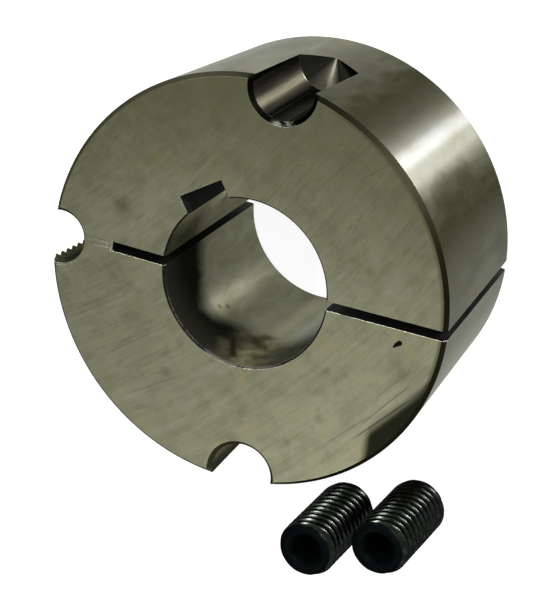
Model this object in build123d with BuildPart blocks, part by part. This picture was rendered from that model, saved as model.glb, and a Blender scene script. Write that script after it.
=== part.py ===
"""Split taper bush for fixing a pulley or sprocket to a shaft, with its two grub screws.

The bush stands on its small end. Its axis is +Z, with the origin where the axis meets the
plane of the small end, and the full slit runs out along +X. The screws stand beside it,
sockets up, as they lie ready before the bush is pushed into its hub.
All sizes are in millimetres and all angles in degrees.
"""

import os
from math import cos, radians, sin, tan

from build123d import *

os.makedirs("parts", exist_ok=True)

# ---- Tapered body ----
large_diameter = 85.73      # over the large end, before its rim is chamfered
bush_length = 44.45
taper_half_angle = 4.0      # the side leans in by this much towards the small end
rim_chamfer = 0.9           # at the large end
toe_chamfer = 0.5           # at the small end

# ---- Bore and keyway ----
bore_diameter = 35.0
bore_chamfer = 0.4
keyway_width = 10.0
keyway_depth = 3.3          # from the top of the bore to the floor of the keyway
keyway_angle = 123.0

# ---- Saw cuts ----
saw_width = 2.0
blind_cut_reach = 29.1      # from the axis to the closed end of the cut that stops short
blind_cut_angle = 178.8     # sawn a little off the line of the full slit

# ---- Half holes in the rim ----
hole_circle_diameter = 82.55
hole_depth = 23.5           # full-width depth, before the drill point
drill_point_angle = 118.0
mouth_chamfer = 0.9         # of the two clamp holes
clamp_hole_diameter = 13.0
clamp_hole_angle = 85.0     # on each side of the full slit
jack_hole_angle = 180.0
tapping_diameter = 10.5
tapping_extra_depth = 3.0   # the tapping drill goes this much deeper than the thread

# ---- Grub screws ----
screw_diameter = 12.7       # over the thread crests, and also the size of the jack hole's thread
screw_length = 25.4
screw_end_chamfer = 1.4
hex_across_flats = 6.35
hex_depth = 7.5
hex_mouth_diameter = 8.0    # round countersink around the hexagon
cup_diameter = 6.6          # hollow in the end that bites
cup_angle = 118.0

# ---- Where the screws stand ----
screw_clearance = 15.7      # from the bush's large diameter to each screw
screw_gap = 4.0             # between the two screws
screw_side_angle = -71.5    # middle of the pair

# ---- Worked out from the sizes above ----
large_radius = large_diameter / 2
small_radius = large_radius - bush_length * tan(radians(taper_half_angle))
bore_radius = bore_diameter / 2
hole_circle_radius = hole_circle_diameter / 2
screw_radius = screw_diameter / 2


def cone_depth(diameter, point_angle):
    """Depth of the cone that a point of this angle leaves below a hole of this diameter."""
    return diameter / 2 / tan(radians(point_angle / 2))


def rim_hole_plane(angle):
    """Upright plane through a half hole's axis: its y is +Z and its origin is on the large face."""
    outward = Vector(cos(radians(angle)), sin(radians(angle)), 0)
    along_rim = Vector(-sin(radians(angle)), cos(radians(angle)), 0)
    centre = outward * hole_circle_radius + Vector(0, 0, bush_length)
    return Plane(origin=centre, x_dir=along_rim, z_dir=outward)


def upright_axis(plane):
    """Line parallel to +Z through a plane's origin."""
    return Axis(plane.origin, (0, 0, 1))


# ---- Bush: one turned piece, then broached, drilled and sawn ----
with BuildPart() as taper_bush:
    with BuildSketch(Plane.XZ) as half_section:
        with BuildLine():
            Polyline(
                (bore_radius, 0),
                (small_radius, 0),
                (large_radius, bush_length),
                (bore_radius, bush_length),
                close=True,
            )
        make_face()
        chamfer(half_section.vertices().group_by(Axis.X)[0], bore_chamfer)
        chamfer(half_section.vertices().sort_by(Axis.X)[-1], rim_chamfer)
        chamfer(half_section.vertices().group_by(Axis.Y)[0].sort_by(Axis.X)[-1], toe_chamfer)
    revolve(axis=Axis.Z)

    with BuildSketch(Plane.XY.rotated((0, 0, keyway_angle))):
        Rectangle(bore_radius + keyway_depth, keyway_width, align=(Align.MIN, Align.CENTER))
    extrude(amount=bush_length, mode=Mode.SUBTRACT)

    for angle in (clamp_hole_angle, -clamp_hole_angle):
        clamp_plane = rim_hole_plane(angle)
        clamp_radius = clamp_hole_diameter / 2
        with BuildSketch(clamp_plane):
            with BuildLine():
                Polyline(
                    (0, 0),
                    (clamp_radius + mouth_chamfer, 0),
                    (clamp_radius, -mouth_chamfer),
                    (clamp_radius, -hole_depth),
                    (0, -hole_depth - cone_depth(clamp_hole_diameter, drill_point_angle)),
                    close=True,
                )
            make_face()
        revolve(axis=upright_axis(clamp_plane), mode=Mode.SUBTRACT)

    jack_plane = rim_hole_plane(jack_hole_angle)
    tapping_radius = tapping_diameter / 2
    tapping_depth = hole_depth + tapping_extra_depth
    with BuildSketch(jack_plane):
        with BuildLine():
            Polyline(
                (0, 0),
                (screw_radius, 0),
                (screw_radius, -hole_depth),
                (tapping_radius, -hole_depth - (screw_radius - tapping_radius)),
                (tapping_radius, -tapping_depth),
                (0, -tapping_depth - cone_depth(tapping_diameter, drill_point_angle)),
                close=True,
            )
        make_face()
    revolve(axis=upright_axis(jack_plane), mode=Mode.SUBTRACT)

    with BuildSketch(Plane.XY):
        Rectangle(large_radius, saw_width, align=(Align.MIN, Align.CENTER))
    extrude(amount=bush_length, mode=Mode.SUBTRACT)

    with BuildSketch(Plane.XY.rotated((0, 0, blind_cut_angle))):
        Rectangle(blind_cut_reach, saw_width, align=(Align.MIN, Align.CENTER))
    extrude(amount=bush_length, mode=Mode.SUBTRACT)

taper_bush.part.label = "taper_bush"
export_step(taper_bush.part, "parts/taper_bush.step")

# ---- Grub screws: chamfered rod with a hexagon socket on top and a cup point below ----
screw_row_radius = large_radius + screw_clearance + screw_radius
screw_row_centre = Vector(
    screw_row_radius * cos(radians(screw_side_angle)),
    screw_row_radius * sin(radians(screw_side_angle)),
    0,
)
screw_row_plane = Plane(origin=screw_row_centre, x_dir=screw_row_centre.rotate(Axis.Z, 90))
screw_offset = (screw_diameter + screw_gap) / 2

for number, offset in ((1, -screw_offset), (2, screw_offset)):
    foot = Plane(origin=screw_row_plane.from_local_coords((offset, 0, 0)), x_dir=(1, 0, 0))
    head = foot.offset(screw_length)
    with BuildPart() as grub_screw:
        with BuildSketch(foot):
            Circle(screw_radius)
        extrude(amount=screw_length)
        rims = grub_screw.edges().filter_by(GeomType.CIRCLE)
        chamfer(rims, screw_end_chamfer)

        with BuildSketch(head):
            RegularPolygon(hex_across_flats / 2, 6, major_radius=False)
        extrude(amount=-hex_depth, mode=Mode.SUBTRACT)
        mouth_depth = (hex_mouth_diameter - hex_across_flats) / 2
        with Locations(head):
            Cone(
                hex_across_flats / 2,
                hex_mouth_diameter / 2,
                mouth_depth,
                align=(Align.CENTER, Align.CENTER, Align.MAX),
                mode=Mode.SUBTRACT,
            )
        socket_drill_depth = cone_depth(hex_across_flats, drill_point_angle)
        with Locations(head.offset(-hex_depth)):
            Cone(
                0,
                hex_across_flats / 2,
                socket_drill_depth,
                align=(Align.CENTER, Align.CENTER, Align.MAX),
                mode=Mode.SUBTRACT,
            )
        with Locations(foot):
            Cone(
                cup_diameter / 2,
                0,
                cone_depth(cup_diameter, cup_angle),
                align=(Align.CENTER, Align.CENTER, Align.MIN),
                mode=Mode.SUBTRACT,
            )
    grub_screw.part.label = f"grub_screw_{number}"
    export_step(grub_screw.part, f"parts/grub_screw_{number}.step")
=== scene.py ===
# %% [markdown]
# # Split taper bush with its two grub screws
# A taper bush locks a pulley or a sprocket to a shaft. It is turned from cast iron, bored and
# broached for the shaft and its key, ground flat on its ends, drilled half into its rim, and sawn
# through on one side so that it can close on the shaft. Two grub screws draw it into its hub.
#
# The solids come from the packed model, in metres, and none of them is moved. This script gives
# them their finishes, cuts the threads that the solids leave plain, and sets light and camera.

# %% Load the packed model
from math import cos, pi, radians, sin, sqrt, tan

import bpy
import numpy as np
from mathutils import Matrix, Vector


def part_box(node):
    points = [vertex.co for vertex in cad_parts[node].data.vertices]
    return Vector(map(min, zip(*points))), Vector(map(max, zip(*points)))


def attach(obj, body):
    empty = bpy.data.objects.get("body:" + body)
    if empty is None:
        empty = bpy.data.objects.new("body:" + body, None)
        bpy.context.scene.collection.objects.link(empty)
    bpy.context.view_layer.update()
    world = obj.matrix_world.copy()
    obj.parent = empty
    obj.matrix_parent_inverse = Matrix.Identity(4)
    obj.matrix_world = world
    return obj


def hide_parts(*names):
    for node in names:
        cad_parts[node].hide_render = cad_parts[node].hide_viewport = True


MM = 0.001
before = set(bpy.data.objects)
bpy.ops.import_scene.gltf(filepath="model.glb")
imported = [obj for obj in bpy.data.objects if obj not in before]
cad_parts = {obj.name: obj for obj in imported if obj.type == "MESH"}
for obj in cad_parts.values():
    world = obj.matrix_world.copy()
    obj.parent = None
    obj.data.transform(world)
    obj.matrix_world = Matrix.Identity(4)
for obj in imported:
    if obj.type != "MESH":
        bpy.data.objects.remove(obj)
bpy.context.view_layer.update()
scene = bpy.context.scene
bush_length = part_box("taper_bush")[1].z
print(f"solids: {sorted(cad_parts)}, bush {bush_length / MM:.2f} mm long")

# %% [markdown]
# ## Writing shaders as sums
# A finish can be drawn by hand in the node editor, but a formula is easier to read and to change.
# `Wire` wraps one output of a node, so that `1 - mask * 2` adds its Math nodes by itself. Only
# single numbers are summed so, because a Math node would turn a colour grey.

# %% Wire: one output of a node
class Wire:
    """The output of a node, which can be written into sums, products and comparisons."""

    def __init__(self, sheet, socket):
        self.sheet, self.socket = sheet, socket

    def math(self, operation, *values):
        """One Math node: the operation on the values, in their order."""
        return self.sheet.add("ShaderNodeMath", {"operation": operation}, dict(enumerate(values)))

    def __add__(self, other):
        return self.math("ADD", self, other)

    def __sub__(self, other):
        return self.math("SUBTRACT", self, other)

    def __rsub__(self, other):
        return self.math("SUBTRACT", other, self)

    def __mul__(self, other):
        return self.math("MULTIPLY", self, other)

    def __truediv__(self, other):
        return self.math("DIVIDE", self, other)

    def __pow__(self, other):
        return self.math("POWER", self, other)

    def __gt__(self, other):
        return self.math("GREATER_THAN", self, other)

    def __lt__(self, other):
        return self.math("LESS_THAN", self, other)

    def __abs__(self):
        return self.math("ABSOLUTE", self)

    __radd__ = __add__
    __rmul__ = __mul__

    def most(self, other):
        """The larger of the two, which joins two masks."""
        return self.math("MAXIMUM", self, other)

    def ramp(self, low, high):
        """0 under low, 1 over high and a smooth step between; low may be the larger of the two."""
        return self.sheet.add(
            "ShaderNodeMapRange",
            {"interpolation_type": "SMOOTHSTEP"},
            {"Value": self, "From Min": low, "From Max": high},
        )


print("Wire has", [name for name in vars(Wire) if not name.startswith("_")], "and the operators")

# %% [markdown]
# `Sheet` is the node tree of one material, or of the world. Its `add` makes any node from its type,
# its settings and what goes into its sockets. The other methods are short names for common nodes.

# %% Sheet: the node tree of a material or of the world
class Sheet:
    """The node tree of its owner, emptied first."""

    def __init__(self, owner):
        self.owner = owner
        self.owner.use_nodes = True
        self.tree = owner.node_tree
        self.tree.nodes.clear()

    def add(self, kind, settings=None, inputs=None, output=0):
        """Adds a node, sets it up, fills its sockets with values or wires, and returns an output."""
        node = self.tree.nodes.new(kind)
        for name, value in (settings or {}).items():
            setattr(node, name, value)
        for name, value in (inputs or {}).items():
            if isinstance(value, Wire):
                self.tree.links.new(value.socket, node.inputs[name])
            else:
                node.inputs[name].default_value = value
        return Wire(self, node.outputs[output]) if len(node.outputs) else None

    def split(self, vector):
        """The three numbers of a vector."""
        first = self.add("ShaderNodeSeparateXYZ", {}, {0: vector})
        return [Wire(self, socket) for socket in first.socket.node.outputs]

    def join(self, x, y, z):
        """A vector of three numbers."""
        return self.add("ShaderNodeCombineXYZ", {}, {0: x, 1: y, 2: z})

    def dot(self, first, second):
        """The cosine of the angle between two directions of length 1."""
        product = {"operation": "DOT_PRODUCT"}
        return self.add("ShaderNodeVectorMath", product, {0: first, 1: second}, "Value")

    def noise(self, vector, scale, detail=2.0, roughness=0.5, distortion=0.0):
        """Cloudy values near 0.5, with features about 1/scale across."""
        inputs = {"Vector": vector, "Scale": scale, "Detail": detail}
        inputs |= {"Roughness": roughness, "Distortion": distortion}
        return self.add("ShaderNodeTexNoise", {}, inputs)

    def blend(self, factor, low, high):
        """A colour between low and high."""
        inputs = {"Factor": factor, 6: low, 7: high}
        return self.add("ShaderNodeMix", {"data_type": "RGBA"}, inputs, output=2)

    def paint(self, colour, *coats):
        """A colour under coats, in their order: each is a mask and the colour that shows there."""
        for mask, coat in coats:
            colour = self.blend(mask, colour, coat)
        return colour

    def bump(self, height, distance, strength=1.0, normal=None):
        """The normal of a surface that stands out by the height times the distance."""
        inputs = {"Height": height, "Distance": distance, "Strength": strength}
        inputs |= {"Normal": normal} if normal else {}
        return self.add("ShaderNodeBump", {}, inputs)

    def metal(self, colour, roughness, normal, more=None):
        """A bare metal, unless `more` says otherwise."""
        inputs = {"Base Color": colour, "Roughness": roughness, "Normal": normal, "Metallic": 1.0}
        inputs |= more or {}
        return self.add("ShaderNodeBsdfPrincipled", {}, inputs)

    def seen(self):
        """1 for a ray from the eye, straight or by way of metal or glass, and 0 for any other."""
        straight = self.add("ShaderNodeLightPath")
        sockets = straight.socket.node.outputs
        in_metal = Wire(self, sockets["Is Glossy Ray"])
        through_glass = Wire(self, sockets["Is Transmission Ray"])
        return straight.most(in_metal).most(through_glass)

    def finish(self, shader):
        """Links the shader to the output of the tree, and returns the tree's owner."""
        of_world = isinstance(self.owner, bpy.types.World)
        output = "ShaderNodeOutputWorld" if of_world else "ShaderNodeOutputMaterial"
        self.add(output, {}, {"Surface": shader})
        return self.owner


def grey(value, warmth=1.0, blue=0.6):
    """An olive grey, as oiled iron has: green is the value, red and blue are shares of it."""
    return (value * warmth, value, value * blue, 1.0)


def length_of(u, v):
    """The length of a vector: the root of the sum of its two squares."""
    return (u * u + v * v) ** 0.5


def angle_of(u, v):
    """The angle of a vector from the first axis, between -pi and pi: the arctangent of v over u."""
    return v.math("ARCTAN2", v, u)


print("Sheet: an olive grey of 0.1 is", [round(part, 3) for part in grey(0.1)])

# %% [markdown]
# ## The bush: one casting, many machined faces
# Each face of the real bush shows the tool that cut it. The ends were ground by a large wheel, which
# leaves long, shallow arcs; the tapered side and the bore were turned, with fine rings around the
# axis; holes were drilled; the chamfers, saw cuts and keyway are rougher and darker. Each face could
# have a material of its own, but the casting is one mesh of loose triangles that is left as it is. So
# one material tells its faces apart by where a point is and which way its face looks, and mixes five
# metals. First come the rim holes: a point belongs to one when it is close enough to its axis.

# %% Sizes of the bush, and its rim holes
hole_circle_radius = 41.275 * MM
clamp_hole_radius = 6.5 * MM
clamp_hole_angle = radians(85)
jack_hole_angle = pi
rim_hole_angles = (-clamp_hole_angle, jack_hole_angle, clamp_hole_angle)
thread_radius = 6.35 * MM
bore_radius = 17.5 * MM
hole_margin = 1.0 * MM
hole_depth = 23.5 * MM


def hole_spot(angle):
    """Centre of a rim hole, seen along the axis."""
    return hole_circle_radius * cos(angle), hole_circle_radius * sin(angle)


def rim_holes(x, y):
    """1 near a rim hole, the angle around that hole's axis, and the distance from the last one's.

    The last one is the top hole, on the side of +Y.
    """
    inside = around = 0.0
    for angle in rim_hole_angles:
        hole_x, hole_y = hole_spot(angle)
        across_x = x - hole_x
        across_y = y - hole_y
        away = length_of(across_x, across_y)
        near = away < clamp_hole_radius + hole_margin
        inside = near + inside
        around = near * angle_of(across_x, across_y) + around
    return inside, around, away


for angle in rim_hole_angles:
    print("rim hole at", [round(part / MM, 2) for part in hole_spot(angle)], "mm")

# %% [markdown]
# ### Sharp edges
# A burr is the thin, bright line that a wheel leaves on an edge. It could be modelled as a bevel, but
# it is far thinner than a face should be. The Bevel node gives the normal that a slightly rounded
# edge would have: where it departs from the true normal there is an edge, and the same normal makes
# that edge catch the light. Only the lower lips of the openings and the top hole's edge have one,
# where the rounded normal faces +y: there the bright colour is burr and painted highlight at once.

# %% Burrs
edge_rounding = 0.13 * MM
burr_reach = 1.2 * MM
burr_side = 4 * MM


def burr_on_edges(sheet, true_normal, x, y, z, from_top_hole):
    """The rounded normal, and a mask of the burrs with their painted highlight on edges whose rounded
    normal faces +y, half as strong on the side of -x.

    The bend at an edge is 1 less the cosine between the true and the rounded normal.
    """
    rounded = sheet.add("ShaderNodeBevel", {"samples": 6}, {"Radius": edge_rounding})
    bend = 1 - sheet.dot(rounded, true_normal)
    # Painted highlight: the bright edge colour goes only where the rounded normal faces +y.
    lower_lip = sheet.split(rounded)[1].ramp(0.1, 0.5) * (z > bush_length - burr_reach)
    by_top_hole = (from_top_hole < clamp_hole_radius + burr_reach) * 0.35
    elsewhere = (y < burr_side) * (1 - (x < 0) * 0.5)
    return rounded, bend.ramp(0.01, 0.10) * lower_lip * elsewhere.most(by_top_hole)


print(f"burrs on edges rounded by {edge_rounding / MM:.2f} mm")

# %% [markdown]
# ### Masks
# A mask is a number that is 1 on one kind of face and 0 elsewhere. The ends look along the axis, the
# side looks away from it and the bore towards it. `at` gathers the masks and the lengths that the
# finishes read, so that each is worked out once. On the side that looks towards the full slit the rim
# is painted darker, as shade.

# %% Where the faces of the bush are
slit_direction = (0.976, 0.216)
rim_shade_start = -8 * MM
rim_shade_full = 11 * MM
mouth_reach = 41.9 * MM
end_cosine = 0.95
mouth_cosine = 0.4


def along(x, y, direction):
    """How far a point lies along a direction: the sum of the products of their coordinates."""
    return x * direction[0] + y * direction[1]


def faces_of_bush(sheet):
    """Wires that are 1 on one kind of face and 0 elsewhere, by place and by true normal.

    `outward` is the cosine between the normal and the line from the axis. `turn` runs from 0 at the
    full slit to 2 pi: the angle of the opposite point, plus pi.
    """
    place = sheet.add("ShaderNodeTexCoord", output="Object")
    x, y, z = sheet.split(place)
    nx, ny, nz = sheet.split(sheet.add("ShaderNodeNewGeometry", output="True Normal"))
    radius = length_of(x, y)
    turn = angle_of(x * -1, y * -1) + pi
    outward = (nx * x + ny * y) / radius
    holes, hole_turn, from_top_hole = rim_holes(x, y)
    rounded, burr = burr_on_edges(sheet, sheet.join(nx, ny, nz), x, y, z, from_top_hole)
    end = abs(nz) > end_cosine
    side = (outward > end_cosine) * (radius > bore_radius * 2)
    bore = (outward < -end_cosine) * (radius < bore_radius * 1.02)
    hole_wall = holes * (1 - end) * (1 - side)
    by_large_end = z > bush_length - hole_margin
    mouth = hole_wall * (abs(nz) > mouth_cosine) * by_large_end * (radius < mouth_reach)
    toward_slit = along(x, y, slit_direction)
    at = dict(place=place, x=x, y=y, z=z, radius=radius, turn=turn, degrees=turn * (180 / pi))
    at |= dict(end=end, side=side, bore=bore, drilled=hole_wall - mouth, mouth=mouth)
    at |= dict(hole_turn=hole_turn, by_large_end=by_large_end, rounded=rounded, burr=burr)
    at |= dict(toward_slit=toward_slit, oily=toward_slit.ramp(rim_shade_start, rim_shade_full))
    return at


print(f"faces within {np.degrees(np.arccos(end_cosine)):.0f} degrees of the axis are ends")

# %% [markdown]
# ### Marks with a place
# Grinding arcs come from a wheel much wider than the bush, so they are arcs about a point far outside
# it: noise that is read by the distance from that point, and only slowly along the arc, gives lines
# of that shape. Stains and scratches have their own places. They could be painted by hand, but
# formulas of two lengths on a face stay sharp at any size, and their places can be changed.

# %% Grinding arcs
grinding_centre = (-130 * MM, 116 * MM)
grinding_radius = sqrt(grinding_centre[0] ** 2 + grinding_centre[1] ** 2)


def grinding_lines(sheet, at, line_width, line_length, detail=3.0, seed=0.0):
    """Noise over (distance from the grinding centre / width, angle x grinding radius / length)."""
    across_x = at["x"] - grinding_centre[0]
    across_y = at["y"] - grinding_centre[1]
    distance = length_of(across_x, across_y)
    turn = angle_of(across_x, across_y)
    spot = sheet.join(distance / line_width, turn * (grinding_radius / line_length), seed)
    return sheet.noise(spot, 1.0, detail, 0.6)


print(f"grinding arcs of about {grinding_radius / MM:.0f} mm radius")

# %% Blots and scratches
def blot(u, v, spot, size):
    """1 at a spot of a face, falling smoothly to 0 at a distance of `size`; u and v are metres."""
    across_u = u - spot[0] * MM
    across_v = v - spot[1] * MM
    return length_of(across_u, across_v).ramp(size * MM, 0.0)


def scratch(u, v, start, stop, width):
    """1 on the straight line between two spots of a face, and 0 away from it or past its ends.

    The unit vector of the line turns the offsets from its start into a length along it, their dot
    product, and a distance from it, their cross product.
    """
    length = sqrt((stop[0] - start[0]) ** 2 + (stop[1] - start[1]) ** 2)
    along_u = (stop[0] - start[0]) / length
    along_v = (stop[1] - start[1]) / length
    from_u = u - start[0] * MM
    from_v = v - start[1] * MM
    run = from_u * along_u + from_v * along_v
    across = abs(from_v * along_u - from_u * along_v)
    ends = run.ramp(0.0, length * 0.2 * MM) * run.ramp(length * MM, length * 0.8 * MM)
    return across.ramp(width * MM, 0.0) * ends


def several(mark, u, v, table):
    """The sum of many marks, each with the strength that ends its row of the table."""
    total = 0.0
    for row in table:
        total = mark(u, v, *row[:-1]) * row[-1] + total
    return total


# Rows of blots are ((x, y), size, strength), and rows of scratches (start, stop, width, strength),
# in millimetres on the large end.
stains = [((-27.5, 9.5), 3.0, 0.45), ((19.5, -13.5), 1.5, 0.3), ((19, -24), 1.6, 0.3)]
stains += [((13, -31), 1.6, 0.25), ((-15, -23), 1.8, 0.25), ((26, 9), 1.5, 0.2)]
stains += [((-9, 31), 2.0, 0.25), ((35, -10), 8.0, 0.25)]
chips = [((33.7, -3.7), 1.0, 1), ((33.0, -4.2), 0.75, 1), ((32.6, -4.7), 0.5, 1)]
scratches = [((26, -27), (38.5, -13.5), 0.28, 0.75), ((27, -24), (37.5, -11), 0.2, 0.6)]
scratches += [((30, -16.5), (37, -8.5), 0.16, 0.4), ((20, -30), (30, -20), 0.2, 0.45)]
scratches += [((-37, -17), (-24, -8), 0.2, 0.3), ((-30, -24), (-12, -10.5), 0.18, 0.3)]
scratches += [((-24, -31), (-8, -21), 0.2, 0.25), ((20, 26), (29, 33), 0.2, 0.3)]
scratches += [((12, 22), (25, 37), 0.16, 0.3), ((-36.5, 1.5), (-29.5, 1.3), 0.25, 0.35)]
scratches += [((-35.5, 0.3), (-29.5, 0.5), 0.2, 0.35)]
saw_starts = [((-34, 1.2), (-29.4, 1.0), 0.2, 0.5), ((-33.5, 0.0), (-29.4, 0.1), 0.2, 0.5)]
saw_starts += [((-29.5, -0.8), (-29.3, 1.7), 0.2, 0.9), ((-30.6, -0.2), (-30.4, 1.2), 0.15, 0.5)]
print(f"{len(stains)} stains, {len(chips)} chips, {len(scratches)} scratches, {len(saw_starts)} saw marks")

# %% [markdown]
# ### Ground ends
# Oiled iron is an olive grey. Its tone drifts with the wheel's fine lines and with clouds of stain,
# and here and there it has a breath of rust. One colour with more bump would look like plastic; what
# makes it iron is that the tone changes at several sizes at once, so four noises are summed.

# %% Iron fresh from the wheel
ground_dark = grey(0.061, 0.98, 0.55)
ground_light = grey(0.131, 0.98, 0.71)
groove_grey = grey(0.055, 0.98, 0.5)
rust_brown = (0.098, 0.088, 0.042, 1)


def ground_iron_colour(sheet, at, cloud, speck, fine, broad):
    """Dark to light by a weighted sum of four noises, then darker in grooves and browner in spots."""
    grooves = grinding_lines(sheet, at, 0.9 * MM, 45 * MM, 3.0, 3.0).ramp(0.60, 0.78)
    blotch = sheet.noise(at["place"], 1 / (5.5 * MM), 5.0, 0.62, 0.8)
    tone = fine * 0.18 + broad * 0.20 + blotch * 0.36 + cloud * 0.26
    rust = blotch.ramp(0.5, 0.68) * 0.5 + speck.ramp(0.6, 0.78) * 0.3
    bare = sheet.blend(tone.ramp(0.25, 0.75), ground_dark, ground_light)
    return sheet.paint(bare, (grooves * 0.45, groove_grey), (rust, rust_brown))


print(f"ground iron between {ground_dark[1]} and {ground_light[1]}")

# %% [markdown]
# Painted shade darkens the end towards the rim, on the side of the keyway and the top hole. There oil
# also lies in small olive spots, drawn out along the wheel's lines, and next to the slit the rim is darker.

# %% Oil on the ends
shade_direction = (-0.57, 0.82)
far_direction = (0.25, 0.97)
rim_radius = 41.0 * MM
rim_dark_full = 41.8 * MM
# Greys of the painted shade that darkens the end along two directions.
shade_grey = grey(0.04, 0.97, 0.5)
far_shade_grey = grey(0.040, 0.97, 0.53)
olive_spot = (0.056, 0.052, 0.020, 1)
# The rim of the end is darker next to the slit.
rim_dark_grey = grey(0.035, 0.97, 0.55)


def shade_and_spots_on_end(sheet, at, speck, colour):
    """Painted shade by how far a point lies along two directions, olive spots of oil, and darker at the
    rim.
    """
    shade = along(at["x"], at["y"], shade_direction).ramp(18 * MM, 44 * MM)
    far = along(at["x"], at["y"], far_direction).ramp(0.0, 45 * MM)
    spots = grinding_lines(sheet, at, 1.5 * MM, 4.0 * MM, 3.0, 11.0).ramp(0.55, 0.70)
    rim_dark = at["radius"].ramp(rim_radius, rim_dark_full) * at["toward_slit"].ramp(19 * MM, 25 * MM)
    return sheet.paint(
        colour,
        (shade * (0.42 + speck.ramp(0.35, 0.65) * 0.3), shade_grey),
        (far * 0.75, far_shade_grey),
        (spots * (far * 0.6 + 0.15), olive_spot),
        (rim_dark * 0.8, rim_dark_grey),
    )


print(f"oil on the rim from radius {rim_radius / MM:.1f} to {rim_dark_full / MM:.1f} mm")

# %% [markdown]
# A few scratches cross the end, a chip is missing just below the slit, and the saw left its starting
# marks at the closed end of the short cut. By the lower rim lies a low spot that the wheel never
# touched, still black from the casting. It could be a dent, but the casting's mesh is left as it is,
# so it is a mask: how far a point lies beyond a slanting line, frayed by some noise.

# %% Marks and the low spot
mark_grey = grey(0.02)
chip_black = grey(0.002)
saw_grey = grey(0.33, 1.0, 0.9)
casting_black = (0.0050, 0.0055, 0.003, 1)
# Bright grey of the burrs, which is also a painted highlight on the edges that face +y.
burr_glint_grey = grey(0.42, 1.0, 0.85)
low_spot_corner = (29.5 * MM, -26.5 * MM)
low_spot_direction = (0.771, -0.637)
low_spot_fray = 2.5 * MM


def marks_on_end(sheet, at, speck, colour):
    """Stains and scratches, then chips with a ragged edge, then the bright starts of the saw."""
    x, y = at["x"], at["y"]
    marks = several(blot, x, y, stains) + several(scratch, x, y, scratches)
    chip = several(blot, x, y, chips) + (speck - 0.5) * 0.8
    run_out = several(scratch, x, y, saw_starts) * speck.ramp(0.3, 0.6)
    return sheet.paint(colour, (marks, mark_grey), (chip.ramp(0.45, 0.6), chip_black), (run_out, saw_grey))


def low_spot(at, broad):
    """1 beyond a slanting line near the rim, with an edge that the wheel's lines fray."""
    x, y = at["x"], at["y"]
    beyond = along(x - low_spot_corner[0], y - low_spot_corner[1], low_spot_direction)
    beyond = beyond + (broad - 0.5) * low_spot_fray
    return beyond.ramp(-2.9 * MM, -0.3 * MM) * x.ramp(28.2 * MM, 30.4 * MM) * (y < 0)


print("low spot near", [round(part / MM, 1) for part in low_spot_corner], "mm")

# %% [markdown]
# The layers come together here. A metal mirrors more as it is seen edge on, which would make the
# flat end glare from low down. Specular Tint dims what a metal mirrors near that angle, so a grey
# tint keeps the end dull from the side and hardly changes it from above.

# %% Finish of the ends
end_glare = (0.42, 0.42, 0.47, 1)


def end_face(sheet, at, cloud, speck):
    """Ground iron: arcs of the wheel, painted shade and spots of oil, marks, a low spot, and burrs with a
    painted highlight on the sharp edges.
    """
    fine = grinding_lines(sheet, at, 0.34 * MM, 7 * MM)
    broad = grinding_lines(sheet, at, 1.4 * MM, 22 * MM, 2.0, 7.0)
    colour = ground_iron_colour(sheet, at, cloud, speck, fine, broad)
    colour = shade_and_spots_on_end(sheet, at, speck, colour)
    colour = marks_on_end(sheet, at, speck, colour)
    burr = at["burr"] * speck.ramp(0.3, 0.5)
    colour = sheet.paint(colour, (low_spot(at, broad), casting_black), (burr, burr_glint_grey))
    roughness = 0.34 + fine * 0.08 + speck * 0.06
    normal = sheet.bump(fine + broad * 0.5, 0.004 * MM, 1.0, at["rounded"])
    return sheet.metal(colour, roughness, normal, {"Specular Tint": end_glare})


print("tint of the ends, seen edge on:", end_glare[:3])

# %% [markdown]
# ### Turned side
# Turning leaves rings around the axis. They spread a reflection along the axis and hardly around it.
# Modelling them would take thousands of faces, and an anisotropic finish gives the same streak. The
# side is darker than the ends, with wisps of oil on it; a lighter band of painted highlight runs down
# it, with darker bands of painted shade on both sides, and a thin coat of oil brightens it where it
# turns away from the eye.

# %% Finish of the tapered side
# The band angles place a painted highlight down the side; the dark bands beside it are painted shade.
painted_band_angle = 46.5
painted_highlight_angle = 48
painted_shade_bands = ((27, 13), (65, 12))  # angle and reach, in degrees
side_dark = grey(0.030, 0.98, 0.60)
side_light = grey(0.064, 0.97, 0.72)
painted_band_grey = grey(0.078, 0.99, 0.84)
painted_highlight_grey = grey(0.105, 0.98, 0.98)
ring_grey = grey(0.11, 1.0, 0.88)
oil_brown = (0.060, 0.051, 0.029, 1)
painted_shade_brown = (0.024, 0.022, 0.011, 1)
side_glare = (0.46, 0.48, 0.25, 1)
around_axis = {"Anisotropic": 1.0, "Anisotropic Rotation": 0.25}


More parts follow.
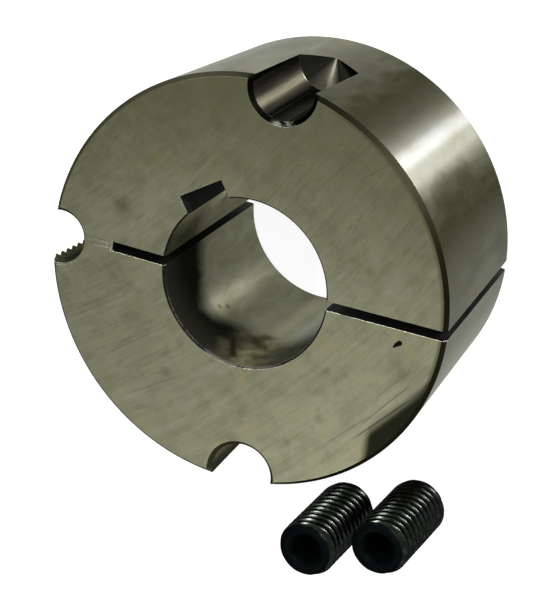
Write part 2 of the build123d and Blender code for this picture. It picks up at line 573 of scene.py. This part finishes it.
def tapered_side(sheet, at, cloud, speck):
    """Turned iron. Bands of painted highlight and of painted shade are 1 where the angle is near theirs, in
    degrees from the slit.
    """
    rings = sheet.noise(sheet.join(at["z"] / (0.15 * MM), 0.0, 0.0), 1.0, 3.0, 0.7)
    wisp_spot = sheet.join(at["turn"] * 7, at["z"] / (18 * MM), 1.0)
    wisps = sheet.noise(wisp_spot, 1.0, 5.0, 0.6, 1.2)
    drift = at["degrees"] + (wisps - 0.5) * 14 + (cloud - 0.5) * 8
    first, second = [abs(drift - middle).ramp(reach, 0) for middle, reach in painted_shade_bands]
    painted_shade = first.most(second)
    # Painted highlight: a lighter, whiter band and a bright line down the side.
    highlight = abs(at["degrees"] - painted_band_angle + (wisps - 0.5) * 4).ramp(11, 5)
    bright = abs(at["degrees"] - painted_highlight_angle).ramp(3.5, 1.5)
    colour = sheet.paint(
        sheet.blend(wisps.ramp(0.3, 0.7), side_dark, side_light),
        (highlight, painted_band_grey),
        (bright * 0.8, painted_highlight_grey),
        (cloud.ramp(0.5, 0.75) * 0.5, oil_brown),
        (painted_shade * 0.7, painted_shade_brown),
        (rings.ramp(0.35, 0.8) * 0.25, ring_grey),
    )
    normal = sheet.bump(rings, 0.003 * MM, 0.5, at["rounded"])
    film = (0.58 - painted_shade * 0.4) * (0.55 + cloud * 0.5 + speck * 0.4)
    oiled = {"Coat Weight": film, "Coat Roughness": 0.25, "Coat IOR": 1.13, "Specular Tint": side_glare}
    return sheet.metal(colour, 0.33 + speck * 0.05, normal, around_axis | oiled)


print(f"clean band at {painted_band_angle} degrees, smudges at", [middle for middle, reach in painted_shade_bands])

# %% [markdown]
# ### Bore
# The bore is bright where a shaft has rubbed it. Near the large end it is painted black above an arch,
# as painted shade, and beside that old oil has dried to a thin brown stain with a line and a few drops.
# These have places too, so they are written on the unrolled bore: the angle times the radius is one
# length, and the height is the other. Under the painted shade Metallic falls to 0, so that it stays black.

# %% Oil in the bore
oil_line = [((249.5, 32.5), (266, 42.5))]
specks_of_oil = [((229.5, 28.3), 0.9, 0.7), ((233, 25.8), 1.1, 0.6), ((266, 31), 3.2, 0.9)]
specks_of_oil += [((272, 33.5), 3.4, 0.8), ((269, 28), 2.6, 0.8), ((279, 38), 3.2, 0.6)]
oil_line_width = 1.3
arch_middle = 228
arch_base = 28.5 * MM
arch_rise = 5.5 * MM
stain_dark = (0.020, 0.019, 0.009, 1)
stain_light = (0.060, 0.060, 0.032, 1)
# Black of the painted shade above the arch in the bore.
arch_shade_black = (0.0068, 0.0068, 0.0048, 1)
drop_brown = (0.012, 0.012, 0.006, 1)


def round_bore(spot):
    """An angle in degrees and a height in millimetres, as two lengths on the unrolled bore."""
    return radians(spot[0]) * bore_radius / MM, spot[1]


def thin_stain(sheet, at, cloud, speck):
    """A brown coat above a drifting height, on both sides of the painted shade."""
    beside = at["degrees"].ramp(205, 190).most(at["degrees"].ramp(232, 243))
    stain = (at["z"] + (cloud - 0.5) * 14 * MM).ramp(22 * MM, 33 * MM) * beside
    return stain * 0.85, sheet.blend(speck.ramp(0.35, 0.7), stain_dark, stain_light)


# Painted shade: the bore is painted black above this arch near the large end.
def painted_shade_arch(at, cloud, speck):
    """1 above an arch: its height is the base, plus a rise that falls smoothly with the angle."""
    degrees = at["degrees"]
    arch = abs(degrees - arch_middle).ramp(30, 3) * arch_rise + arch_base + (cloud - 0.5) * 5 * MM
    film = (at["z"] - arch).ramp(-5 * MM, 1.5 * MM) * degrees.ramp(176, 180)
    return film * (degrees + (cloud - 0.5) * 30 + (speck - 0.5) * 8).ramp(262, 243)


def line_and_drops(at):
    """1 on the line and the drops of oil, on the unrolled bore."""
    around = at["turn"] * bore_radius
    lines = [(round_bore(start), round_bore(stop), oil_line_width, 1.0) for start, stop in oil_line]
    drops = [(round_bore(spot), size, amount) for spot, size, amount in specks_of_oil]
    return several(scratch, around, at["z"], lines) + several(blot, around, at["z"], drops)


print(f"oil in the bore: arch from {arch_base / MM} mm up, {len(specks_of_oil)} drops")

# %% Finish of the bore
bore_dark = grey(0.17, 0.98, 0.64)
bore_light = grey(0.245, 0.98, 0.74)
band_angle = 273
band_grey = grey(0.07, 0.97, 0.66)
slit_side_grey = grey(0.30, 0.96, 0.95)
bore_glare = (0.6, 0.6, 0.5, 1)


def bore_wall(sheet, at, cloud, speck):
    """Bored iron, bright but for a dark band along it, with painted shade and old oil near the large end.
    """
    rings = sheet.noise(sheet.join(at["z"] / (0.25 * MM), 0.0, 5.0), 1.0, 3.0, 0.7)
    wisps = sheet.noise(sheet.join(at["turn"] * 5, at["z"] / (9 * MM), 8.0), 1.0, 4.0, 0.6, 0.8)
    # Painted shade near the large end, black above an arch.
    film = painted_shade_arch(at, cloud, speck)
    colour = sheet.paint(
        sheet.blend(wisps.ramp(0.25, 0.75), bore_dark, bore_light),
        (abs(at["degrees"] - band_angle).ramp(20, 6) * 0.75, band_grey),
        (at["degrees"].ramp(278, 298) * 0.5, slit_side_grey),
        thin_stain(sheet, at, cloud, speck),
        (film, arch_shade_black),
        (line_and_drops(at), drop_brown),
        (at["burr"] * speck.ramp(0.3, 0.6) * 0.6, burr_glint_grey),
    )
    normal = sheet.bump(rings, 0.003 * MM, 0.5, at["rounded"])
    bored = {"Specular Tint": bore_glare, "Metallic": 1 - film, "Specular IOR Level": 0.0}
    return sheet.metal(colour, 0.38 + speck * 0.05, normal, around_axis | bored)


print(f"bored iron between {bore_dark[1]} and {bore_light[1]}")

# %% [markdown]
# ### Drilled holes
# A drill cuts rings too, and its point leaves a cone whose rings are deeper. Chips darken the wall
# with oil. In the top hole, painted shadow blackens one side of the wall, a painted highlight brightens
# its shoulder, and its cone is painted near black as shade, with two bright wedges of painted highlight
# from its tip. All holes share one formula, and the two others are blended to a plain oiled grey. The
# angles here are radians around the hole's own axis.

# %% Finish of the drilled holes
top_hole_start = 10 * MM
wall_dark = grey(0.020, 1.05, 0.70)
wall_light = grey(0.036, 1.06, 0.72)
shadow_black = grey(0.003)
plain_dark = grey(0.02, 0.98, 0.6)
plain_light = grey(0.05, 0.98, 0.6)
# The shoulder's grey and the cone's wedges are painted highlights, and the cone's near black is painted
# shade.
shoulder_highlight_grey = grey(0.13, 1.0, 0.8)
cone_shade_black = grey(0.0018, 1.0, 0.66)
cone_highlight_grey = grey(0.125, 1.02, 0.76)
hole_glare = (0.2, 0.2, 0.17, 1)
shoulder_highlight_angle = -2.4
highlight_wedge_angle = -1.62
second_highlight_wedge_angle = -0.75
cone_base = bush_length - hole_depth


def top_hole_wall(sheet, turn, streaks):
    """Streaked iron, with a painted shadow that blackens one side."""
    wall = sheet.blend(streaks.ramp(0.3, 0.75), wall_dark, wall_light)
    return sheet.blend(turn.ramp(-2.15, -1.95) * 0.95, wall, shadow_black)


def top_hole_cone(sheet, turn, streaks):
    """Painted shade, near black, with two wedges of painted highlight: each is 1 near its own angle and
    falls smoothly to 0.
    """
    second_highlight_wedge = abs(turn - second_highlight_wedge_angle).ramp(0.40, 0.10) * 0.4
    highlight_wedge = abs(turn - highlight_wedge_angle).ramp(0.72, 0.22).most(second_highlight_wedge)
    before = turn.ramp(-1.6, -1.9) * 0.05
    return sheet.blend(before + highlight_wedge * (0.5 + streaks * 0.9), cone_shade_black, cone_highlight_grey)


def drilled_wall(sheet, at, cloud, speck):
    """Dark, ringed iron, a painted highlight on the shoulder on one side, and a cone where the drill's
    point ended.
    """
    turn, z = at["hole_turn"], at["z"]
    streaks = sheet.noise(sheet.join(turn * 8, z / (14 * MM), 0.0), 1.0, 4.0, 0.7)
    rings = sheet.noise(sheet.join(z / (0.3 * MM), turn * 0.4, 0.0), 1.0, 2.0, 0.6)
    other_holes = at["y"] < top_hole_start
    plain = sheet.blend(speck, plain_dark, plain_light)
    shoulder = abs(z - cone_base).ramp(0.35 * MM, 0.1 * MM) * abs(turn - shoulder_highlight_angle).ramp(0.25, 0.05)
    wall = sheet.paint(top_hole_wall(sheet, turn, streaks), (other_holes, plain), (shoulder, shoulder_highlight_grey))
    cone = sheet.blend(other_holes, top_hole_cone(sheet, turn, streaks), plain)
    point = z < cone_base
    colour = sheet.blend(point, wall, cone)
    normal = sheet.bump(rings, 0.02 * MM, 1.0, at["rounded"])
    ringed = around_axis | {"Specular Tint": hole_glare}
    return sheet.metal(colour, 0.56 - point * 0.03, normal, ringed)


print(f"drill points begin {cone_base / MM:.2f} mm above the small end")

# %% [markdown]
# ### Sawn, broached and chamfered faces
# These are the roughest and the darkest. Round the rim the chamfer is painted black as shade next to
# the slit, and painted lighter away from it and towards -y. The saw cuts and the keyway are painted
# near black as shade, and they are hardly metallic: a metal would mirror the white surroundings even in
# the deepest corner. The top hole's mouth is painted black as shade, with a painted highlight on its
# lower part, and the bore's chamfer is lighter on one side, by wear and a painted highlight.

# %% Chamfers and lips
rim_lit_dark = grey(0.044, 1.0, 0.65)
rim_lit_light = grey(0.080, 1.0, 0.8)
rim_lit_speck = grey(0.04, 1.0, 0.7)
rim_shade_far = grey(0.0060, 1.0, 0.55)
rim_shade_near = grey(0.0095, 1.0, 0.6)
bore_lip_share = 1.04
mouth_highlight_angle = -1.4


def rim_colour(sheet, at, speck):
    """Lighter iron on one side of the bush and painted shade on the other, each painted lighter towards -y.
    """
    lit_rim = sheet.blend((at["y"] * -1).ramp(-15 * MM, 12 * MM), rim_lit_dark, rim_lit_light)
    lit_rim = sheet.blend(speck.ramp(0.35, 0.65) * 0.4, lit_rim, rim_lit_speck)
    # The oil colours here are painted shade, near black on the side that looks towards the slit.
    oil = sheet.blend(at["y"].ramp(6 * MM, -4 * MM), rim_shade_far, rim_shade_near)
    return sheet.blend(at["oily"], lit_rim, oil)


def mouth_highlight(at, speck):
    """1 on the lower part of the top hole's mouth, where a painted highlight goes, broken up by specks."""
    near_angle = abs(at["hole_turn"] - mouth_highlight_angle).ramp(0.5, 0.25)
    return at["mouth"] * near_angle * (at["y"] > 0) * speck.ramp(0.45, 0.6)


def worn_lip_highlight(at, speck):
    """0.8 on the bore's chamfer between about 250 and 295 degrees, where wear and a painted highlight
    lighten it, broken up by specks.
    """
    bore_lip = (at["radius"] < bore_radius * bore_lip_share) * at["by_large_end"]
    between = at["degrees"].ramp(244, 254) * at["degrees"].ramp(304, 290)
    return bore_lip * between * speck.ramp(0.3, 0.55) * 0.8


print(f"wiped iron between {rim_lit_dark[1]} and {rim_lit_light[1]}, oil at {rim_shade_far[1]} and {rim_shade_near[1]}")

# %% Finish of the other cut faces
# The saw cuts and the keyway are painted near black, as shade in their deep slots.
sawn_shade_dark = grey(0.0022, 0.98, 0.90)
sawn_shade_light = grey(0.0050, 0.98, 0.90)
# The top hole's mouth is painted black as shade.
top_mouth_shade_black = grey(0.001, 1.0, 0.7)
other_mouth_grey = grey(0.022, 0.98, 0.6)
# Grey of the painted highlight on the lower part of the top hole's mouth.
mouth_highlight_grey = grey(0.085, 1.0, 0.85)
worn_lip_highlight_grey = grey(0.060, 1.0, 0.80)
cut_glare = (0.4, 0.4, 0.35, 1)


def cut_face(sheet, at, cloud, speck):
    """Rough iron: saw cuts, keyway, mouths of the holes, and the chamfers of the rim and the bore."""
    sawn = sheet.blend(speck.ramp(0.3, 0.75), sawn_shade_dark, sawn_shade_light)
    on_rim = (at["radius"] > rim_radius) * at["by_large_end"]
    mouth_colour = sheet.blend(at["y"] < top_hole_start, top_mouth_shade_black, other_mouth_grey)
    # Wear and a painted highlight on one side of the bore's chamfer.
    worn = worn_lip_highlight(at, speck)
    colour = sheet.paint(
        sawn,
        (on_rim, rim_colour(sheet, at, speck)),
        (at["mouth"], mouth_colour),
        (mouth_highlight(at, speck), mouth_highlight_grey),
        (worn, worn_lip_highlight_grey),
        (at["burr"] * speck.ramp(0.3, 0.5), burr_glint_grey),
    )
    normal = sheet.bump(speck, 0.008 * MM, 0.5, at["rounded"])
    shaded_cut = (1 - on_rim) * (1 - at["mouth"]) * (1 - worn)
    dull = {"Specular Tint": cut_glare, "Specular IOR Level": 0.05, "Metallic": 1 - shaded_cut * 0.9}
    return sheet.metal(colour, 0.45, normal, dull)


print(f"sawn faces between {sawn_shade_dark[1]} and {sawn_shade_light[1]}")

# %% [markdown]
# ### One material for the whole casting
# The masks pick one finish at each point, so the mix is never seen as a mix. Two noises, one of
# clouds and one of specks, are shared by all finishes, so that stains run on from face to face.

# %% The bush's material
cloud_size = 9 * MM
speck_size = 2.2 * MM


def bush_iron():
    """The cut faces, with each other finish mixed over them by its mask."""
    sheet = Sheet(bpy.data.materials.new("ground_iron_finish"))
    at = faces_of_bush(sheet)
    cloud = sheet.noise(at["place"], 1 / cloud_size, 4.0, 0.6, 0.6)
    speck = sheet.noise(at["place"], 1 / speck_size, 3.0, 0.65, 0.3)
    body = cut_face(sheet, at, cloud, speck)
    finishes = (("end", end_face), ("side", tapered_side), ("bore", bore_wall), ("drilled", drilled_wall))
    for mask, finish in finishes:
        other = finish(sheet, at, cloud, speck)
        body = sheet.add("ShaderNodeMixShader", {}, {0: at[mask], 1: body, 2: other})
    return sheet.finish(body)


ground_iron = bush_iron()
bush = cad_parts["taper_bush"]
bush.data.materials[0] = ground_iron
print(f"{ground_iron.name}: {len(ground_iron.node_tree.nodes)} nodes")

# %% [markdown]
# ## Threads
# A screw thread is one ridge wound into a helix. The solids leave it out, because at their size it is
# a fine detail. The Screw modifier can wind it, but then it has to be cut to the chamfers afterwards.
# On a grid of angle and height, the surface of a screw is a formula: its radius is the crest's, less
# a wave that runs once for each pitch and shifts by one pitch for each turn.

# %% Whitworth form
inch = 25.4
thread_pitch = inch / 12 * MM
thread_depth = 0.64 * thread_pitch
crest_share = 0.14
flank_share = 0.72
rounding = 0.07


def thread_wave(turns):
    """0 on the crest and 1 in the root: a straight flank, less a sine that rounds both its ends."""
    from_crest = np.abs(turns - np.round(turns)) * 2
    slope = np.clip((from_crest - crest_share) / flank_share, 0, 1)
    return slope - rounding * np.sin(2 * pi * slope)


print(f"thread: pitch {thread_pitch / MM:.3f} mm, depth {thread_depth / MM:.3f} mm")

# %% From grids to pieces
sharp_angle = radians(50)


def mesh_piece(name, points, faces, material):
    """A smooth-shaded mesh whose hard edges are those over 50 degrees, riding on the bush's body."""
    mesh = bpy.data.meshes.new(name)
    mesh.from_pydata(points.reshape(-1, 3).tolist(), [], faces)
    mesh.shade_smooth()
    mesh.set_sharp_from_angle(angle=sharp_angle)
    mesh.materials.append(material)
    piece = bpy.data.objects.new(name, mesh)
    scene.collection.objects.link(piece)
    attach(piece, "root")
    print(f"{name}: {len(mesh.vertices)} points, {len(mesh.polygons)} faces")
    return piece


def ring_faces(rows, columns):
    """Quads between neighbouring rings of a grid that closes on itself around its columns.

    Point (row, column) has the number row x columns + column.
    """
    row, column = np.meshgrid(np.arange(rows - 1), np.arange(columns), indexing="ij")
    after = (column + 1) % columns
    corners = [row * columns + column, row * columns + after]
    corners += [(row + 1) * columns + after, (row + 1) * columns + column]
    return np.stack(corners, -1).reshape(-1, 4).tolist()


print("a grid of 3 rings of 4 points has", len(ring_faces(3, 4)), "faces")

# %% [markdown]
# ### Black finish of the screws
# The screws are blackened and oiled, so the thread is glossy black and shows thin, bright lines on
# its crests. Paint would be one flat black; here worn places are a little greyer. Round the socket
# and on the end the finish is dull and hardly metallic, and it is painted near black: painted shade in
# the socket, and a darker end.

# %% Black oxide
dull_radius = 4.3 * MM
dull_height = 24.4 * MM
oxide_black = (0.011, 0.013, 0.011, 1)
oxide_worn = (0.032, 0.036, 0.031, 1)
socket_shade_and_end_black = (0.0010, 0.0015, 0.0016, 1)
oxide_glare = (0.05, 0.05, 0.05, 1)


def black_oxide(centres):
    """Glossy black, and dull and painted near black within a distance of each screw's axis or above a
    height: painted shade in the socket.
    """
    sheet = Sheet(bpy.data.materials.new("black_oxide"))
    place = sheet.add("ShaderNodeTexCoord", output="Object")
    worn = sheet.noise(place, 1 / (1.5 * MM), 4.0, 0.65)
    fine = sheet.noise(place, 1 / (0.25 * MM), 2.0, 0.6)
    colour = sheet.blend(worn.ramp(0.45, 0.75), oxide_black, oxide_worn)
    x, y, z = sheet.split(place)
    oiled = z > dull_height
    for centre_x, centre_y in centres:
        oiled = oiled.most(length_of(x - centre_x, y - centre_y) < dull_radius)
    # The socket is painted near black as shade, and the end is a dull black.
    colour = sheet.blend(oiled, colour, socket_shade_and_end_black)
    normal = sheet.bump(fine + worn, 0.004 * MM, 0.6)
    dull = {"Specular Tint": oxide_glare, "Specular IOR Level": 0.0, "Metallic": 1 - oiled * 0.9}
    return sheet.finish(sheet.metal(colour, 0.15 + worn * 0.1, normal, dull))


print(f"screws are dull within {dull_radius / MM} mm of their axes")

# %% [markdown]
# ### Grub screws
# A grub screw has no head: a hexagon socket in one end and a cup in the other. It could be cut from a
# rod with booleans, but these leave ragged faces on a thread. Here the whole skin is one grid of rings
# from the cup, up the thread and down into the socket, and only two small caps close it.

# %% Rings of a grub screw
screw_radius = 6.35 * MM
end_chamfer = 1.4 * MM
socket_half_width = 3.175 * MM
socket_depth = 7.5 * MM
mouth_radius = 4.0 * MM
cup_radius = 3.3 * MM
tip_share = 0.1
edge = 0.12 * MM
drill_half_angle = radians(59)
point_slope = 1 / tan(drill_half_angle)


def screw_rings(length, columns=96, rows_a_pitch=14):
    """Rings of a screw from its cup to the floor of its socket.

    The side's radius is the crest radius less the thread wave, and no more than the chamfer's at
    either end. The socket's rings are hexagons: half the width across flats, divided by the cosine
    of the angle from the nearest flat's middle.
    """
    around = np.linspace(0, 2 * pi, columns, endpoint=False)
    from_flat = (around + pi / 6) % (pi / 3) - pi / 6
    hexagon = socket_half_width / np.cos(from_flat)
    rim = screw_radius - end_chamfer
    height = np.linspace(edge, length - edge, int(length / thread_pitch * rows_a_pitch))[:, None]
    side = screw_radius - thread_depth * thread_wave(height / thread_pitch - around / (2 * pi))
    side = np.minimum(side, rim + np.minimum(height, length - height))
    rings = [(cup_radius * tip_share, cup_radius * (1 - tip_share) * point_slope)]
    rings += [(cup_radius - edge, edge * point_slope), (cup_radius + edge, 0), (rim - edge, 0)]
    rings += list(zip(side, height))
    rings += [(rim - edge, length), (mouth_radius + edge, length), (mouth_radius - edge, length - edge)]
    rings += [(hexagon, length - (mouth_radius - hexagon)), (hexagon, length - socket_depth)]
    rings += [(socket_half_width - edge, length - socket_depth)]
    rings += [(edge, length - socket_depth - socket_half_width * point_slope)]
    radii = np.array([radius * np.ones(columns) for radius, _ in rings])
    heights = np.array([height * np.ones(columns) for _, height in rings])
    return np.stack([radii * np.cos(around), radii * np.sin(around), heights], -1)


print(f"screws: radius {screw_radius / MM} mm, socket {2 * socket_half_width / MM} mm across flats")

# %% Two grub screws
def screw_foot(number):
    """The middle of the underside of a screw's solid."""
    low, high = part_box(f"grub_screw_{number}")
    return (low.x + high.x) / 2, (low.y + high.y) / 2, low.z


def grub_screw(number, black):
    """The rings, moved to the solid's place, with a cap on the first and on the last ring."""
    low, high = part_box(f"grub_screw_{number}")
    rings = screw_rings(high.z - low.z) + np.array(screw_foot(number))
    count, columns = rings.shape[:2]
    faces = ring_faces(count, columns)
    faces += [list(range(columns - 1, -1, -1))]
    faces += [list(range((count - 1) * columns, count * columns))]
    piece = mesh_piece(f"threaded_screw_{number}", rings, faces, black)
    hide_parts(f"grub_screw_{number}")


screw_numbers = (1, 2)
black = black_oxide([screw_foot(number)[:2] for number in screw_numbers])
for number in screw_numbers:
    grub_screw(number, black)

# %% [markdown]
# ### The tapped half hole
# The jacking screw's hole is tapped before the bush is turned to its taper, so its thread is cut off
# where the side of the bush comes through it. A boolean with the taper would do the same, but with
# ragged ends. Each turn is a ridge inside the hole, drawn only over the angles at which it lies within
# the taper. The limit comes from the triangle between the bush's axis, the hole's axis and a point of
# the ridge. The foot of each ridge is sunk a little into the wall, so that no gap shows.

# %% Bars around the jack hole
taper = tan(radians(4))
large_radius = 42.865 * MM
rim_chamfer = 0.9 * MM
rounds = 4


def arc_bars(own_radius, height_at, columns=56):
    """Closed bars around the jack hole's axis that end where the bush's taper cuts them off.

    A bar ends where its distance from the bush's axis reaches the radius of the taper: the cosine
    of its end angle is (taper radius squared - own radius squared - hole circle squared) divided by
    (2 x own radius x hole circle). The height changes with the angle, so this is solved in rounds.
    """
    share = np.linspace(0, 1, columns)[None, :, None]
    angle = np.full((1, columns, len(own_radius)), pi)
    for _ in range(rounds):
        height = height_at(angle)
        side_radius = large_radius - (bush_length - height) * taper
        side_radius = np.minimum(side_radius, large_radius - rim_chamfer + (bush_length - height))
        reach = side_radius**2 - own_radius**2 - hole_circle_radius**2
        limit = np.arccos(np.clip(reach / (2 * own_radius * hole_circle_radius), -1, 1))
        angle = limit + share * (2 * pi - 2 * limit)
    x = -hole_circle_radius - own_radius * np.cos(angle)
    y = -own_radius * np.sin(angle)
    return np.stack([x, y, height], -1)


print(f"taper {taper:.4f} on the radius, {large_radius / MM} mm at the large end")

# %% The jack hole's thread
foot_sink = 0.02 * MM
wall_radius = thread_radius + foot_sink
crest_radius = 5.15 * MM
middle_radius = (wall_radius + crest_radius) / 2
half_base = 0.43 * thread_pitch
half_crest = 0.10 * thread_pitch
middle_rise = (half_base + half_crest) / 2
thread_start = 1.135
ridge_radii = np.array([wall_radius, middle_radius, crest_radius, crest_radius, middle_radius, wall_radius])
ridge_rise = np.array([-half_base, -middle_rise, -half_crest, half_crest, middle_rise, half_base])
ridge_turns = np.arange(int(hole_depth / thread_pitch))[:, None, None]
land_radii = np.array([wall_radius, wall_radius, 5.75 * MM, 5.7 * MM, 5.9 * MM, wall_radius])
land_drop = np.array([0.6, 1.3, 0.9, 0.6, 0.0, 0.0]) * MM


def ridge_height(angle):
    """The helix: one pitch lower for each turn, rising by one pitch in a turn, kept in the hole."""
    height = bush_length - thread_pitch * (ridge_turns + thread_start - angle / (2 * pi)) + ridge_rise
    return np.clip(height, bush_length - hole_depth, bush_length)


def land_height(angle):
    """The land between the first turn and the large end keeps its height all round."""
    return bush_length - land_drop + 0 * angle


def closed_bar_faces(count, columns, corners):
    """Faces of many bars: rings of corners along each, and a cap on both of its ends."""
    sides = np.array(ring_faces(columns, corners))
    caps = np.array([np.arange(corners)[::-1], (columns - 1) * corners + np.arange(corners)])
    shift = np.arange(count)[:, None, None] * columns * corners
    return (sides + shift).reshape(-1, 4).tolist() + (caps + shift).reshape(-1, corners).tolist()


bars = np.concatenate([arc_bars(ridge_radii, ridge_height), arc_bars(land_radii, land_height)])
bar_faces = closed_bar_faces(*bars.shape[:3])
mesh_piece("jack_hole_thread", bars, bar_faces, ground_iron)

# %% [markdown]
# ## Floor and world
# The bush stands on a matt, pale floor under a white sky. More light would whiten them, but would
# bleach the iron too. Instead, floor and sky glow by themselves where they are seen straight, in metal
# or through glass, and light the bush only softly, and its shadow stays on the floor.

# %% Floor and world
scene.view_settings.view_transform = "Standard"
white = (1, 1, 1, 1)
floor_paint = (0.8, 0.8, 0.8, 1)
floor_glow = 0.8
glow_strength = 1.15
floor_reach = 3.0
sky_light = 0.45


def pale_floor():
    """Matt paint, mixed with a white glow for the rays that are seen."""
    sheet = Sheet(bpy.data.materials.new("pale_floor"))
    paint = sheet.add("ShaderNodeBsdfDiffuse", {}, {"Color": floor_paint})
    glow = sheet.add("ShaderNodeEmission", {}, {"Color": white, "Strength": glow_strength})
    mixed = sheet.add("ShaderNodeMixShader", {}, {0: sheet.seen() * floor_glow, 1: paint, 2: glow})
    return sheet.finish(mixed)


def white_world():
    """White where it is seen, and dimmer as a light: seen x (1 - dimmer) + dimmer."""
    sheet = Sheet(bpy.data.worlds.new("studio"))
    strength = sheet.seen() * (1 - sky_light) + sky_light
    return sheet.finish(sheet.add("ShaderNodeBackground", {}, {"Color": white, "Strength": strength}))


floor_corners = np.array([(-1, -1, 0), (1, -1, 0), (1, 1, 0), (-1, 1, 0)]) * floor_reach
floor_mesh = bpy.data.meshes.new("floor")
floor_mesh.from_pydata(floor_corners.tolist(), [], [(0, 1, 2, 3)])
floor_mesh.materials.append(pale_floor())
floor = bpy.data.objects.new("floor", floor_mesh)
scene.collection.objects.link(floor)
scene.world = white_world()
print(f"floor {2 * floor_reach:.0f} m wide, {scene.world.name} world at {sky_light} as a light")

# %% [markdown]
# ## Lamps
# Polished metal shows its lamps as much as its colour. Two upright strips make the bright band down
# the tapered side, and a higher one lights the middle of the bore. A large box gives the lower half of
# the large end its tone. A high one does so for the upper half, and brightens the bore next to the slit
# and the lines on the screws. A small one picks out the side beyond the top hole. One big lamp would
# be simpler, but would wash out the band and the dark stretches beside it.

# %% Lamps
# Name, azimuth from +X and height in degrees, distance, width and length in metres, watts.
lamps = (
    ("strip_a", 47.7, 12, 0.40, 0.012, 0.14, 2.8),
    ("strip_b", 39.0, 12, 0.40, 0.03, 0.14, 2.0),
    ("bore_strip", 48.4, 50, 0.50, 0.07, 0.16, 1.5),
    ("face_box", -92, 46, 0.52, 0.22, 0.22, 2.3),
    ("edge_box", 111, 22, 0.60, 0.07, 0.14, 0.8),
    ("high_box", 137, 61, 0.50, 0.09, 0.07, 2.6),
)


def direction_of(azimuth, height):
    """The unit vector at an azimuth and a height, both in radians."""
    return Vector((cos(azimuth) * cos(height), sin(azimuth) * cos(height), sin(height)))


def soft_box(name, azimuth, height, distance, width, length, watts):
    """A rectangular lamp, long side upright, that looks at the foot of the bush's axis."""
    data = bpy.data.lights.new(name, "AREA")
    data.shape = "RECTANGLE"
    data.size = width
    data.size_y = length
    data.energy = watts
    lamp = bpy.data.objects.new(name, data)
    away = direction_of(radians(azimuth), radians(height))
    turned = away.to_track_quat("Z", "Y").to_matrix().to_4x4()
    lamp.matrix_world = Matrix.Translation(away * distance) @ turned
    scene.collection.objects.link(lamp)


for lamp in lamps:
    soft_box(*lamp)
print(f"{len(lamps)} lamps, {sum(lamp[-1] for lamp in lamps):.1f} W in all")

# %% [markdown]
# ## Camera
# The camera looks down on the large end from the slit's side, with a long lens, and is rolled so that
# the bush seems to lie on its side. The bush itself stays upright: turning the camera is safe, while
# turning the object would take it out of the frame that all its pieces share.

# %% Camera
view_spot = Vector((-2.1, -11.6, 22.0)) * MM
view_azimuth = radians(48.57)
view_height = radians(59.53)
view_roll = radians(-127.8)
view_distance = 543.1 * MM
backwards = direction_of(view_azimuth, view_height)
level_right = Vector((-sin(view_azimuth), cos(view_azimuth), 0.0))
level_up = backwards.cross(level_right)
right = level_right * cos(view_roll) + level_up * sin(view_roll)
up = backwards.cross(right)
camera_data = bpy.data.cameras.new("camera")
camera_data.lens = 157.9
camera_data.clip_start = 0.05
camera_data.clip_end = 20.0
camera = bpy.data.objects.new("camera", camera_data)
turned = Matrix((right, up, backwards)).transposed().to_4x4()
camera.matrix_world = Matrix.Translation(view_spot + backwards * view_distance) @ turned
scene.collection.objects.link(camera)
scene.camera = camera
print(f"camera {view_distance / MM:.0f} mm away, lens {camera_data.lens:.1f} mm")

# %% [markdown]
# ## Sizes
# The threads stay within the taper and the rods that they dress, so the finished model should be as
# large as the solids.
